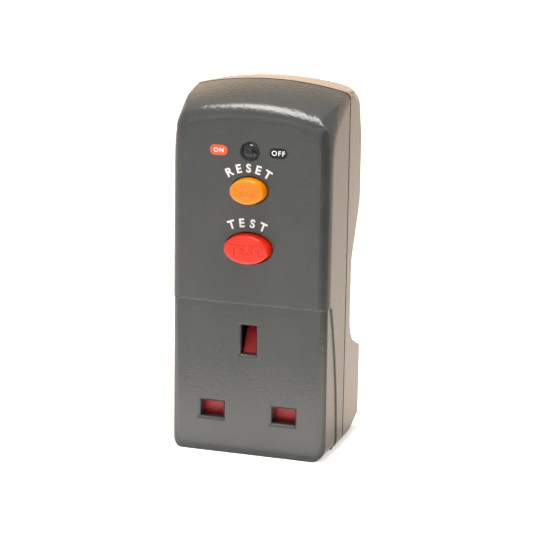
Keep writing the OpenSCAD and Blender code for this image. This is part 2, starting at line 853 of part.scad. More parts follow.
module live_contact(place) {
    color(brass) union() {
        translate([place.x, 0, place.y]) jaws(live_pin_w, live_box_t + 0.6, base_plate_t);
        block(place + [0, tab_top_h / 2], tab_w, tab_top_h, base_plate_t - strip, base_plate_t);
    }
}

module line_contact() {
    live_contact(line_place);
}

module neutral_contact() {
    live_contact(neutral_place);
}

module earth_contact() {
    color(brass) translate([earth_place.x, 0, earth_place.y]) rotate([0, 90, 0])
        union() {
            jaws(earth_pin_w, earth_box_t + 0.6, earth_back_t);
            block([0, 0], earth_pin_w, earth_box.x - 2 * seat_gap, earth_back_t - strip, earth_back_t);
        }
}

// Block in the rear cover that holds the three pins
module pin_carrier() {
    grip = wall + seat_gap;
    wide = carrier_w / 2;
    narrow = earth_pin_w;
    top_h = earth_h + 7;
    color(moulding_cream) difference() {
        intersection() {
            slab(carrier_t, carrier_back_t) polygon(rounded([
                [-wide, -carrier_foot, 2], [wide, -carrier_foot, 2], [wide, 4, 2],
                [narrow, top_h, 3], [-narrow, top_h, 3], [-wide, 4, 2]]));
            union() {
                rear_mass(grip);
                slab(front_d, carrier_back_t) polygon(plug_boss(grip));
            }
        }
        pin_holes(carrier_t - over, carrier_back_t + over);
    }
}

// Bar of section w by h along Y with a bevelled tip
module tipped_bar(w, h, from, to) {
    bevel = 1;
    intersection() {
        block([0, 0], w, h, from, to);
        across(w) polygon([
            [at(from), -h / 2], [at(to - bevel), -h / 2], [at(to), -h / 2 + bevel],
            [at(to), h / 2 - bevel], [at(to - bevel), h / 2], [at(from), h / 2]]);
        translate([0, 0, -h / 2]) linear_extrude(h) polygon([
            [-w / 2, at(from)], [-w / 2, at(to - bevel)], [-w / 2 + bevel, at(to)],
            [w / 2 - bevel, at(to)], [w / 2, at(to - bevel)], [w / 2, at(from)]]);
    }
}

// Pin with a head inside the case and a thinner neck under its sleeve
module live_pin(place) {
    neck_w = live_pin_w - 2 * sleeve_thick;
    neck_h = pin_thick - 2 * sleeve_thick;
    color(brass) translate([place.x, 0, place.y]) union() {
        block([0, 0], live_pin_w + 0.8, pin_thick + 2, carrier_t - pin_head_thick, carrier_t);
        block([0, 0], live_pin_w, pin_thick, carrier_t - pin_head_thick, case_d);
        block([0, 0], neck_w, neck_h, carrier_t, case_d + sleeve_l + over);
        tipped_bar(live_pin_w, pin_thick, case_d + sleeve_l, case_d + live_pin_l);
    }
}

module line_pin() {
    live_pin(line_place);
}

module neutral_pin() {
    live_pin(neutral_place);
}

module earth_pin() {
    color(brass) translate([earth_place.x, 0, earth_place.y]) union() {
        block([0, 0], pin_thick + 1.6, earth_pin_w + 1.6, earth_back_t, earth_back_t + pin_head_thick);
        tipped_bar(pin_thick, earth_pin_w, earth_back_t, case_d + earth_pin_l);
    }
}

// Insulating sleeve on the root of a pin
module pin_sleeve(place) {
    bore_w = live_pin_w - 2 * sleeve_thick;
    bore_h = pin_thick - 2 * sleeve_thick;
    color([0.12, 0.12, 0.12]) difference() {
        block(place, live_pin_w, pin_thick, case_d, case_d + sleeve_l);
        block(place, bore_w, bore_h, case_d - over, case_d + sleeve_l + over);
    }
}

module line_pin_sleeve() {
    pin_sleeve(line_place);
}

module neutral_pin_sleeve() {
    pin_sleeve(neutral_place);
}

ear_x = drum_l / 2 + slide_gap;

// Chassis on the front cover's posts: it carries the drum, the fixed contacts and the carriage's guides
module mechanism_frame() {
    back_t = frame_t + frame_thick;
    top_h = window_h + 3.8;
    color(moulding_cream) difference() {
        union() {
            slab(frame_t, back_t)
                polygon(rounded_box(frame_w, top_h - shelf_h, 2, [0, (top_h + shelf_h) / 2]));
            translate([-shelf_w / 2, at(shelf_front_t), shelf_h])
                cube([shelf_w, core_t + shelf_reach - shelf_front_t, shelf_thick]);
            for (x = [-guide_x, guide_x])
                bar([x, guide_h], guide_dia, back_t - over, carriage_t + carriage_thick);
            for (side = [-1, 1]) translate([side * (ear_x + ear_thick / 2), 0, 0]) {
                block([0, window_h], ear_thick, ear_dia, drum_t, frame_t + over);
                translate([-ear_thick / 2, at(drum_t), window_h]) rotate([0, 90, 0])
                    cylinder(d = ear_dia, h = ear_thick);
            }
        }
        translate([-drum_l, at(drum_t), window_h]) rotate([0, 90, 0])
            cylinder(d = drum_pivot_dia + 2 * guide_gap, h = 2 * drum_l);
        for (z = [test_h, reset_h]) bar([0, z], stem_dia + 2 * slide_gap, frame_t - over, back_t + over);
        for (x = [-pole_x, pole_x], z = [load_h, supply_h])
            bar([x, z], tip_dia + 1.4, frame_t - over, back_t + over);
        for (p = frame_post_places) bar(p, frame_screw_dia + 2 * seat_gap, frame_t - over, back_t + over);
        translate([0, at(core_t), shelf_h - over]) cylinder(d = core_bore + 1, h = shelf_thick + 2 * over);
        block([0, shelf_h + 2], wire_slot_w, wire_slot_h, frame_t - over, back_t + over);
    }
}

module frame_screws() {
    seat_t = frame_t + frame_thick;
    color(steel) for (p = frame_post_places) {
        bar(p, frame_screw_dia, frame_t - frame_screw_bite, seat_t + over);
        bar(p, frame_screw_dia + 2, seat_t, seat_t + 1.4);
    }
}

// Sector of the drum between two radii that holds the bright band
module band_sector(inner_r, l) {
    span = drum_r + over;
    translate([0, at(drum_t), window_h]) rotate([band_angle, 0, 0]) intersection() {
        difference() {
            translate([-l / 2, 0, 0]) rotate([0, 90, 0]) cylinder(r = drum_r, h = l);
            translate([-l, 0, 0]) rotate([0, 90, 0]) cylinder(r = inner_r, h = 2 * l);
        }
        across(l) polygon([[0, 0], [span, -span * tan(band_half)], [span, span * tan(band_half)]]);
    }
}

module indicator_drum() {
    pivot_l = drum_l + 2 * (slide_gap + ear_thick);
    color([0.08, 0.08, 0.09]) difference() {
        translate([0, at(drum_t), window_h]) union() {
            translate([-drum_l / 2, 0, 0]) rotate([0, 90, 0]) cylinder(r = drum_r, h = drum_l);
            translate([-pivot_l / 2, 0, 0]) rotate([0, 90, 0]) cylinder(d = drum_pivot_dia, h = pivot_l);
        }
        band_sector(drum_r - band_thick, drum_l - 1);
    }
}

module indicator_band() {
    color([1, 0.42, 0.15]) band_sector(drum_r - band_thick, drum_l - 1);
}

// Slide that carries the moving contacts on the frame's two guides
module contact_carriage() {
    w = 2 * (pole_x + 3);
    tall = carriage_top_h - carriage_low_h;
    front_t = carriage_t - over;
    back_t = carriage_t + carriage_thick;
    color(moulding_cream) difference() {
        slab(carriage_t, back_t) polygon(rounded_box(w, tall, 1.5, [0, carriage_low_h + tall / 2]));
        bar([0, reset_h], stem_dia + 2 * slide_gap, front_t, back_t + over);
        for (x = [-guide_x, guide_x]) {
            bar([x, guide_h], guide_dia + 2 * guide_gap, front_t, back_t + over);
            bar([x, guide_h], contact_spring_dia + 0.5, front_t, carriage_t + spring_pocket);
        }
    }
}

module contact_springs() {
    from = frame_t + frame_thick;
    to = carriage_t + spring_pocket;
    color(steel) for (x = [-guide_x, guide_x])
        coil_back([x, guide_h], contact_spring_dia, fine_wire, from, to, 4);
}

// Bridges on the carriage, each with a tip for its supply and its load contact
module moving_contacts() {
    color(copper) for (x = [-pole_x, pole_x]) {
        block([x, (load_h + supply_h) / 2], 4, supply_h - load_h + 4, carriage_t - strip, carriage_t);
        for (z = [load_h, supply_h]) bar([x, z], tip_dia, carriage_t - strip - tip_l, carriage_t);
    }
}

// Fixed contact: a strip on the front of the frame with a tip through it
module fixed_contact(x, z) {
    tip_t = carriage_t - strip - tip_l - contact_travel - closed_gap;
    block([x + sign(x) * (fixed_strip_l - 4) / 2, z], fixed_strip_l, 4, frame_t - strip, frame_t);
    bar([x, z], tip_dia, frame_t - strip, tip_t);
}

module supply_contacts() {
    color(copper) for (x = [-pole_x, pole_x]) union() fixed_contact(x, supply_h);
}

module load_contacts() {
    color(copper) for (x = [-pole_x, pole_x]) union() fixed_contact(x, load_h);
}

// Side lane of the supply wires, the depth at which they cross behind the socket base,
// and their room beside the screw bosses
wire_x = half_w - 4.5;
cross_t = base_plate_t + base_plate_thick + 2.7;
boss_room = 1.9;

// Route of a supply wire from the head of its pin up the side of the case, on the right
pin_head_t = carrier_t - pin_head_thick;
supply_x = pole_x + 3.8;
supply_route = [
    [pin_pitch / 2, at(pin_head_t - seat_gap), 0],
    [pin_pitch / 2, at(pin_head_t - 1), 0],
    [pin_pitch / 2, at(pin_head_t - 2), 0],
    [pin_pitch / 2, at(cross_t), 2.6],
    [screw_x - head_boss_dia / 2 - wire_r - boss_room, at(cross_t), 8],
    [wire_x - 2.2, at(cross_t - 1.7), 15.5],
    [wire_x - 0.2, at(front_d - 0.5), 24],
    [wire_x - 0.2, at(frame_t + 5), 40],
    [wire_x, at(frame_t + 2), test_h + 3.6],
    [wire_x, at(frame_t - 3), load_h + 4],
    [supply_x + 0.8, at(frame_t - 4.6), supply_h - 1],
    [supply_x, at(frame_t - 3), supply_h],
    [supply_x, at(frame_t - 2), supply_h],
    [supply_x, at(frame_t - strip - seat_gap), supply_h]];

// Route of the right load wire from its socket contact, past the earth chamber and through the transformer
tab_t = base_plate_t - strip;
tab_wire_h = tab_top_h - 1.4 * wire_r;
earth_top_h = earth_h + earth_case.y / 2;
load_x = pole_x + 2;
load_route = [
    [pin_pitch / 2, at(tab_t - seat_gap), tab_wire_h],
    [pin_pitch / 2, at(tab_t - 1), tab_wire_h],
    [pin_pitch / 2, at(tab_t - 2), tab_wire_h],
    [pin_pitch / 2 - 0.5, at(tab_t - 3.7), tab_wire_h + 3],
    [earth_case.x / 2 + 3.5, at(core_t + 2), earth_h],
    [earth_case.x / 2 + 0.2, at(core_t + 1.5), earth_top_h + 2.5],
    [1.8, at(core_t), shelf_h - 8.5],
    [1.8, at(core_t), shelf_h - 3],
    [2.8, at(core_t - 0.7), shelf_h + 1],
    [7.4, at(frame_t - 2.6), shelf_h + 4.6],
    [pole_x - 0.5, at(frame_t - 4), load_h - 5],
    [load_x, at(frame_t - 3.4), load_h],
    [load_x, at(frame_t - 2.2), load_h],
    [load_x, at(frame_t - strip - seat_gap), load_h]];

function mirrored(route) = [for (p = route) [-p.x, p.y, p.z]];

module line_supply_wire() {
    color([0.45, 0.26, 0.14]) tube(spline(supply_route), wire_r, 8);
}

module neutral_supply_wire() {
    color([0.15, 0.30, 0.62]) tube(spline(mirrored(supply_route)), wire_r, 8);
}

module line_load_wire() {
    color([0.45, 0.26, 0.14]) tube(spline(load_route), wire_r, 8);
}

module neutral_load_wire() {
    color([0.15, 0.30, 0.62]) tube(spline(mirrored(load_route)), wire_r, 8);
}

core_low_h = shelf_h - winding_thick - core_h;

// Ring core that both load wires pass through
module transformer_core() {
    color([0.25, 0.25, 0.27]) translate([0, at(core_t), core_low_h]) difference() {
        cylinder(d = core_dia, h = core_h);
        translate([0, 0, -over]) cylinder(d = core_bore, h = core_h + 2 * over);
    }
}

// Winding round the ring core
module transformer_winding() {
    inner = core_bore / 2 - winding_thick;
    outer = core_dia / 2 + winding_thick;
    color(copper) translate([0, at(core_t), core_low_h]) difference() {
        rotate_extrude() polygon(rounded([
            [inner, -winding_thick, 1.4], [outer, -winding_thick, 1.4],
            [outer, core_h + winding_thick, 1.4], [inner, core_h + winding_thick, 1.4]]));
        difference() {
            cylinder(d = core_dia, h = core_h);
            translate([0, 0, -over]) cylinder(d = core_bore, h = core_h + 2 * over);
        }
    }
}

// Board at the back of the case, on the rear cover's pegs
module circuit_board() {
    wide = board_half_w;
    back_t = board_t + board_thick;
    color([0.12, 0.38, 0.22]) difference() {
        slab(board_t, back_t) polygon(rounded([
            [-wide, board_low_h, 1], [wide, board_low_h, 1],
            [wide, board_shoulder_h, 1], [board_neck, board_shoulder_h, 0],
            [board_neck, board_top_h, 1], [-board_neck, board_top_h, 1],
            [-board_neck, board_shoulder_h, 0], [-wide, board_shoulder_h, 1]]));
        for (p = board_peg_places)
            bar(p, board_peg_dia + 2 * seat_gap, board_t - over, back_t + over);
    }
}

bobbin_bore = plunger_dia + 2 * slide_gap;
bobbin_wall = 0.8;

// Round bar along Z on the axis of the trip coil
module coil_bar(dia, from, to) {
    translate([0, at(coil_t), from]) cylinder(d = dia, h = to - from);
}

module coil_bobbin() {
    color([0.90, 0.88, 0.82]) difference() {
        union() {
            coil_bar(bobbin_bore + 2 * bobbin_wall, bobbin_h, bobbin_h + bobbin_l);
            coil_bar(bobbin_dia, bobbin_h, bobbin_h + bobbin_wall);
            coil_bar(bobbin_dia, bobbin_h + bobbin_l - bobbin_wall, bobbin_h + bobbin_l);
        }
        coil_bar(bobbin_bore, bobbin_h - over, bobbin_h + bobbin_l + over);
    }
}

module coil_winding() {
    color(copper) difference() {
        coil_bar(bobbin_dia - 0.8, bobbin_h + bobbin_wall, bobbin_h + bobbin_l - bobbin_wall);
        coil_bar(bobbin_bore + 2 * bobbin_wall, bobbin_h, bobbin_h + bobbin_l);
    }
}

// Steel frame round the coil, with the fixed pole that the plunger is pulled to
module coil_yoke() {
    front_t = coil_t - bobbin_dia / 2;
    top_h = bobbin_h + bobbin_l;
    color(steel) difference() {
        union() {
            for (z = [yoke_h, top_h])
                translate([-yoke_w / 2, at(front_t), z]) cube([yoke_w, board_t - front_t, yoke_thick]);
            translate([-yoke_w / 2, at(board_t - yoke_thick), yoke_h])
                cube([yoke_w, yoke_thick, top_h + yoke_thick - yoke_h]);
            coil_bar(plunger_dia, top_h - pole_l, top_h + over / 2);
        }
        coil_bar(bobbin_bore, yoke_h - over, yoke_h + yoke_thick + over);
    }
}

// Plunger with a neck that holds the latch plate and a collar for its spring
module trip_plunger() {
    color(steel) union() {
        coil_bar(neck_dia, latch_top_h, collar_h + over / 2);
        coil_bar(plunger_dia + 2.4, collar_h, collar_h + collar_thick);
        coil_bar(plunger_dia, collar_h, bobbin_h + bobbin_l - pole_l - plunger_travel - slide_gap);
    }
}

// Plate behind the carriage with a slot that the RESET stem passes through
module latch_plate() {
    slot_top_h = reset_h + stem_dia / 2 + slide_gap;
    slot_low_h = reset_h - stem_dia / 2 - plunger_travel - slide_gap;
    low_h = slot_low_h - 1.4;
    back_t = latch_t + latch_thick;
    color(steel) difference() {
        slab(latch_t, back_t)
            polygon(rounded_box(latch_w, latch_top_h - low_h, 1, [0, (latch_top_h + low_h) / 2]));
        block([0, (slot_low_h + slot_top_h) / 2], stem_dia + 2 * slide_gap, slot_top_h - slot_low_h,
            latch_t - over, back_t + over);
    }
}

module plunger_spring() {
    from = collar_h + collar_thick;
    color(steel) translate([0, at(coil_t), from]) coil(plunger_dia + 2, fine_wire, yoke_h - from, 4);
}

chip_x = yoke_w / 2 + 4;

// Control chip on the board, with its row of legs on each side
module control_chip() {
    place = [-chip_x, board_low_h + 9];
    color([0.13, 0.13, 0.14]) union() {
        block(place, 5, 9.6, board_t - 3.2, board_t - 0.5);
        for (side = [-1, 1], k = [-1.5:1:1.5])
            block(place + [side * 2.9, 2.4 * k], 1.2, 0.9, board_t - 2, board_t);
    }
}

module capacitor() {
    place = [3.8 - board_neck, board_top_h - 5];
    color([0.16, 0.22, 0.40]) union() {
        bar(place, 6.3, board_t - 9, board_t - 0.4);
        bar(place, 3, board_t - 1, board_t);
    }
}

// Disc standing on two legs
module varistor() {
    disc_dia = 8;
    disc_thick = 3.4;
    place = [board_neck - 3.6, board_top_h - 5];
    color([0.14, 0.36, 0.60]) union() {
        translate([place.x, at(board_t - disc_dia / 2 - 0.6), place.y - disc_thick / 2])
            cylinder(d = disc_dia, h = disc_thick);
        for (side = [-1, 1]) bar(place + [side * 2, 0], 0.9, board_t - 2.4, board_t);
    }
}

// Body lying on the board along X, with a leg at each end
module axial_part(place, dia, l) {
    leg_dia = 0.7;
    leg_x = l / 2 + 1;
    axis_t = board_t - dia / 2 - 0.3;
    translate([place.x, at(axis_t), place.y]) rotate([0, 90, 0]) {
        cylinder(d = dia, h = l, center = true);
        cylinder(d = leg_dia, h = 2 * leg_x, center = true);
    }
    for (side = [-1, 1]) bar(place + [side * leg_x, 0], leg_dia + 0.3, axis_t - leg_dia, board_t);
}

module resistors() {
    color([0.72, 0.60, 0.44]) for (k = [0:2])
        union() axial_part([chip_x - 0.9, board_low_h + 1 + 3 * k], 2.1, 6);
}

module diodes() {
    color([0.15, 0.15, 0.16]) for (k = [0:1])
        union() axial_part([chip_x - 0.7, board_low_h + 10.6 + 3.2 * k], 2.5, 4.6);
}

front_cover();
rear_cover();
case_screws();
indicator_lens();
test_button();
test_spring();
test_leaf();
reset_button();
reset_spring();
shutter();
shutter_spring();
socket_base();
earth_contact();
line_contact();
neutral_contact();
pin_carrier();
earth_pin();
line_pin();
neutral_pin();
line_pin_sleeve();
neutral_pin_sleeve();
mechanism_frame();
frame_screws();
indicator_drum();
indicator_band();
contact_carriage();
contact_springs();
moving_contacts();
supply_contacts();
load_contacts();
line_supply_wire();
neutral_supply_wire();
line_load_wire();
neutral_load_wire();
transformer_core();
transformer_winding();
circuit_board();
coil_bobbin();
coil_winding();
coil_yoke();
trip_plunger();
latch_plate();
plunger_spring();
control_chip();
capacitor();
varistor();
resistors();
diodes();
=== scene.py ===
import json
import math

import bmesh
import bpy
from mathutils import Matrix, Vector
from mathutils.bvhtree import BVHTree


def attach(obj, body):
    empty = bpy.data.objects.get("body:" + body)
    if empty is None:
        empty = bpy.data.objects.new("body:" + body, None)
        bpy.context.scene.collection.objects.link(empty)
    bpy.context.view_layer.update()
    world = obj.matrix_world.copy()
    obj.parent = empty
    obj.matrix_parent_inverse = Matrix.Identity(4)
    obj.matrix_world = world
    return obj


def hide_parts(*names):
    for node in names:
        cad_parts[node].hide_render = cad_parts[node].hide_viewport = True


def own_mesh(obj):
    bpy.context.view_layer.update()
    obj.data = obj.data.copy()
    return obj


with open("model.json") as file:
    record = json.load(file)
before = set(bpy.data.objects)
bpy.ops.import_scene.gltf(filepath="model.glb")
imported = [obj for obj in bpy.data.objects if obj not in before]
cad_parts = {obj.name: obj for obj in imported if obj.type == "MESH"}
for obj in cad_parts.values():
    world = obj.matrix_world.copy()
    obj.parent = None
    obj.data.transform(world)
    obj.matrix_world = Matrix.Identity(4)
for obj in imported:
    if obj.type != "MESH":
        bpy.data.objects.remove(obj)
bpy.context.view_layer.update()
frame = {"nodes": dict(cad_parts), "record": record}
nodes = frame["nodes"]
mm = 0.001

# Sizes and places that the part's source gives, in millimetres
case = {"halfWidth": 24.1, "frontY": -40.0, "partingY": -20.0, "bottomZ": -12.9, "stepZ": 33.3,
        "windowZ": 78.8}
# Distances below which points are merged, or count as lying on a cut, in millimetres
closeness = {"merge": 0.002, "cut": 0.01}


def at(x, y, z):
    return Vector((x * mm, y * mm, z * mm))


# sRGB hex to linear colour
def linear(code):
    parts = [int(code[i:i + 2], 16) / 255 for i in (1, 3, 5)]
    return [c / 12.92 if c <= 0.04045 else ((c + 0.055) / 1.055) ** 2.4 for c in parts] + [1.0]


# Adds a node with its settings and links; a setting is a socket's value where a socket has that name
def addNode(tree, kind, settings=None, links=None, ramp=None):
    node = tree.nodes.new("ShaderNode" + kind)
    for name, value in (settings or {}).items():
        if isinstance(name, int) or name in node.inputs:
            node.inputs[name].default_value = value
        else:
            setattr(node, name, value)
    for name, socket in (links or {}).items():
        tree.links.new(socket, node.inputs[name])
    for i, (place, code) in enumerate(ramp or []):
        stop = node.color_ramp.elements[i] if i < 2 else node.color_ramp.elements.new(place)
        stop.position = place
        stop.color = linear(code)
    return node


# A finish: two shades mottled together, a fine grain in the surface and a polish that varies with it.
# The widths of mottle and grain and the grain's depth are in millimetres, and rough is a range of roughness.
# A clear finish lets the lamps' light through to what lies behind it.
def makeFinish(name, shades, mottle, grain, depth, rough, clear=False, **sockets):
    material = bpy.data.materials.new(name)
    material.use_nodes = True
    tree = material.node_tree
    tree.nodes.clear()
    place = addNode(tree, "TexCoord").outputs["Object"]
    cloud = addNode(tree, "TexNoise", {"Scale": 1 / (mottle * mm), "Detail": 3.0}, {"Vector": place})
    shade = addNode(tree, "ValToRGB", links={"Fac": cloud.outputs["Fac"]},
                    ramp=[(0.35, shades[0]), (0.65, shades[1])])
    bits = addNode(tree, "TexNoise", {"Scale": 1 / (grain * mm), "Detail": 2.0}, {"Vector": place})
    polish = addNode(tree, "MapRange", {"To Min": rough[0], "To Max": rough[1]},
                     {"Value": bits.outputs["Fac"]})
    bump = addNode(tree, "Bump", {"Strength": 1.0, "Distance": depth * mm}, {"Height": bits.outputs["Fac"]})
    shader = addNode(tree, "BsdfPrincipled", sockets, {
        "Base Color": shade.outputs["Color"],
        "Roughness": polish.outputs["Result"],
        "Normal": bump.outputs["Normal"]})
    surface = shader.outputs["BSDF"]
    if clear:
        path = addNode(tree, "LightPath")
        tint = addNode(tree, "BsdfTransparent", {"Color": linear(shades[1])})
        surface = addNode(tree, "MixShader", links={0: path.outputs["Is Shadow Ray"], 1: surface,
                                                    2: tint.outputs["BSDF"]}).outputs["Shader"]
    addNode(tree, "OutputMaterial", links={"Surface": surface})
    return material


finishes = {
    # moulded ABS with a spark-eroded grain, drawn coarse to show: a soft sheen that breaks up into specks
    "case_plastic": makeFinish("grained_grey_abs", ("#3c3e3c", "#414240"), 14, 0.75, 0.085, (0.16, 0.26),
                               IOR=1.48),
    # zinc-plated steel: bright and faintly mottled
    "zinc_steel": makeFinish("zinc_plated_steel", ("#b9bcc0", "#c9cbcd"), 2, 0.15, 0.004, (0.22, 0.36),
                             Metallic=1.0),
    # clear acrylic with a polished face: dark where nothing lies behind it, with a small sharp highlight
    "clear_lens": makeFinish("clear_acrylic", ("#d6d8d8", "#dadcdc"), 4, 3.0, 0.0002, (0.01, 0.03),
                             clear=True, IOR=1.38, **{"Transmission Weight": 1.0}),
    # gloss-moulded ABS: strong colour under a clean highlight
    "red_button": makeFinish("gloss_red_abs", ("#e8290c", "#ec2f0f"), 5, 0.6, 0.003, (0.08, 0.14), IOR=1.42),
    "orange_button": makeFinish("gloss_orange_abs", ("#f28608", "#f58f0c"), 5, 0.6, 0.003, (0.08, 0.14),
                                IOR=1.42),
    # hard-drawn spring wire: grey, with a shine that breaks up finely
    "spring_steel": makeFinish("drawn_spring_steel", ("#8f9296", "#a2a5a9"), 1, 0.12, 0.004, (0.24, 0.38),
                               Metallic=1.0),
    # rolled copper strip, lightly tarnished
    "copper_strip": makeFinish("rolled_copper", ("#b8714e", "#c9825c"), 2, 0.2, 0.004, (0.22, 0.40),
                               Metallic=1.0),
    # red nylon: satin, a little waxy
    "red_shutter": makeFinish("satin_red_nylon", ("#a81c24", "#b22028"), 5, 0.4, 0.008, (0.34, 0.46),
                              IOR=1.42),
    # cream thermoset moulding: dense, dull and faintly mottled
    "cream_moulding": makeFinish("cream_thermoset", ("#d8cfb6", "#e0d8c1"), 6, 0.4, 0.010, (0.34, 0.50),
                                 IOR=1.55),
    # dark brown thermoset moulding: nearly black and dull
    "dark_moulding": makeFinish("dark_thermoset", ("#1e1b19", "#24201d"), 6, 0.4, 0.010, (0.40, 0.55),
                                IOR=1.55),
    # drawn brass, bright from the press
    "brass": makeFinish("bright_drawn_brass", ("#cda85a", "#d9b668"), 3, 0.18, 0.004, (0.18, 0.32),
                        Metallic=1.0),
    # black nylon: satin, with a faint moulded texture
    "black_plastic": makeFinish("black_nylon", ("#17181a", "#1d1e20"), 4, 0.35, 0.010, (0.36, 0.50),
                                IOR=1.53),
    # orange paint on the indicator, with a painted glow that stands in for light it lacks behind its window
    "orange_band": makeFinish("orange_paint_painted_glow", ("#f06a1c", "#f4772a"), 2, 0.3, 0.006, (0.40, 0.52),
                              **{"Emission Color": linear("#ff6a18"), "Emission Strength": 0.4}),
    # soft PVC insulation: even colour with a low sheen
    "brown_insulation": makeFinish("brown_pvc", ("#5b3520", "#643c26"), 3, 0.3, 0.006, (0.36, 0.48)),
    "blue_insulation": makeFinish("blue_pvc", ("#23468f", "#2a4f9a"), 3, 0.3, 0.006, (0.36, 0.48)),
    # sintered ferrite with a thin lacquer: dark grey and slightly speckled
    "ferrite": makeFinish("lacquered_ferrite", ("#2c2c30", "#36363a"), 1.5, 0.2, 0.010, (0.40, 0.60)),
    # enamelled copper wire: a red-brown metal under a glossy coat
    "enamelled_copper": makeFinish("enamelled_copper_wire", ("#8a3f1e", "#a04c26"), 1, 0.25, 0.020,
                                   (0.18, 0.30), Metallic=1.0),
    # glass-cloth laminate under green solder resist: a green gloss, faintly uneven
    "circuit_laminate": makeFinish("green_laminate", ("#1f5a36", "#27663f"), 2, 0.5, 0.008, (0.28, 0.40)),
    # cold-rolled steel: grey with a soft shine
    "bright_steel": makeFinish("cold_rolled_steel", ("#a9abae", "#b9bbbe"), 2, 0.15, 0.004, (0.24, 0.40),
                               Metallic=1.0),
    # moulded chip resin: matt near-black
    "chip_resin": makeFinish("chip_resin", ("#1b1b1d", "#232325"), 1, 0.12, 0.006, (0.50, 0.64)),
    # shrunk vinyl sleeve over an aluminium can: smooth and glossy
    "capacitor_can": makeFinish("navy_vinyl_sleeve", ("#1d2a52", "#24325e"), 2, 0.4, 0.004, (0.22, 0.34)),
    # dipped epoxy, slightly lumpy
    "varistor_coat": makeFinish("blue_dipped_epoxy", ("#1f5794", "#28639f"), 2, 0.9, 0.020, (0.28, 0.40)),
    # tan resistor lacquer: thick, with a low sheen
    "resistor_coat": makeFinish("tan_lacquer", ("#b3946a", "#bf9f74"), 1.5, 0.5, 0.010, (0.34, 0.46)),
}
# screen-printed ink: thin, matt and a little uneven
inks = {
    "white": makeFinish("white_screen_ink", ("#fbfbfb", "#ffffff"), 1.5, 0.15, 0.004, (0.45, 0.60)),
    "orange": makeFinish("orange_screen_ink", ("#f2582c", "#f66133"), 1.5, 0.15, 0.004, (0.45, 0.60)),
    "black": makeFinish("black_screen_ink", ("#0e0e12", "#141418"), 1.5, 0.15, 0.004, (0.45, 0.60), IOR=1.35),
}
for part in frame["record"]["subparts"]:
    nodes[part["node"]].data.materials.clear()
    nodes[part["node"]].data.materials.append(finishes[part["material_slot"]])
print("finishes made:", len(finishes) + len(inks))


# A finished mesh as an object at the origin that rides on a body
def makePiece(name, bm, body, material):
    mesh = bpy.data.meshes.new(name)
    bm.to_mesh(mesh)
    bm.free()
    mesh.materials.clear()
    mesh.materials.append(material)
    piece = bpy.data.objects.new(name, mesh)
    bpy.context.scene.collection.objects.link(piece)
    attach(piece, body)
    return piece


# A copy of a CAD node's mesh, with its loose triangles merged
def copyNode(nodeName):
    bm = bmesh.new()
    bm.from_mesh(nodes[nodeName].data)
    bmesh.ops.remove_doubles(bm, verts=bm.verts, dist=closeness["merge"] * mm)
    return bm


def smooth(bm):
    for face in bm.faces:
        face.smooth = True


# Keeps edges above an angle crisp, and the broad faces flat beside their rounded edges
def finishShading(piece, crisp=40):
    mesh = piece.data
    if "custom_normal" in mesh.attributes:
        mesh.attributes.remove(mesh.attributes["custom_normal"])
    mesh.set_sharp_from_angle(angle=math.radians(crisp))
    shading = piece.modifiers.new("even_shading", "WEIGHTED_NORMAL")
    shading.keep_sharp = True


# The next ring of a wall: a ring of edges drawn out along Y and scaled round its middle in X and Z
def growRing(bm, ring, middle, scale, step):
    grown = bmesh.ops.extrude_edge_only(bm, edges=ring)["geom"]
    moved = [v for v in grown if isinstance(v, bmesh.types.BMVert)]
    bmesh.ops.translate(bm, verts=moved, vec=at(0, step, 0))
    bmesh.ops.scale(bm, verts=moved, vec=(scale[0], 1, scale[1]), space=Matrix.Translation(-middle))
    return [e for e in grown if isinstance(e, bmesh.types.BMEdge) and all(v in moved for v in e.verts)]


# How a CAD node is softened, in degrees and millimetres: faces within the flat angle are joined, edges above
# the sharp one are rounded off, and edges above the crisp one keep their line in the shading
softening = {"flat": 0.5, "sharp": 24, "crisp": 32, "round": 0.16, "steps": 2, "clear": 0.02}


# Sharp edges seen from outside: a line out from each leaves the piece without meeting it
def outerEdges(bm, seen):
    tree = BVHTree.FromBMesh(bm)
    found = []
    for edge in bm.edges:
        if len(edge.link_faces) != 2 or edge.calc_face_angle() < math.radians(softening["sharp"]):
            continue
        out = (edge.link_faces[0].normal + edge.link_faces[1].normal).normalized()
        middle = (edge.verts[0].co + edge.verts[1].co) / 2
        if seen(middle, out) and tree.ray_cast(middle + out * softening["clear"] * mm, out)[0] is None:
            found.append(edge)
    return found


# Rounds off some edges, leaving the material as it is
def roundEdges(bm, edges, size, steps):
    bmesh.ops.bevel(bm, geom=edges, offset=size * mm, offset_type="OFFSET", segments=steps, profile=0.5,
                    affect="EDGES", material=-1)


# Cuts some faces in two along a plane
def cutFaces(bm, faces, place, normal):
    around = {e for f in faces for e in f.edges}
    points = {v for f in faces for v in f.verts}
    bmesh.ops.bisect_plane(bm, geom=list(points) + list(around) + faces, dist=closeness["cut"] * mm,
                           plane_co=place, plane_no=normal)


# Blends the faces that meet at a pair of outer corners: a fine grid is cut there and cleared of slivers, then
# smoothed, most at the middle and not at all at the rim. The rim and the slivers are parts of reach and grid.
blending = {"rim": 0.98, "sliver": 0.3, "pull": 0.5}


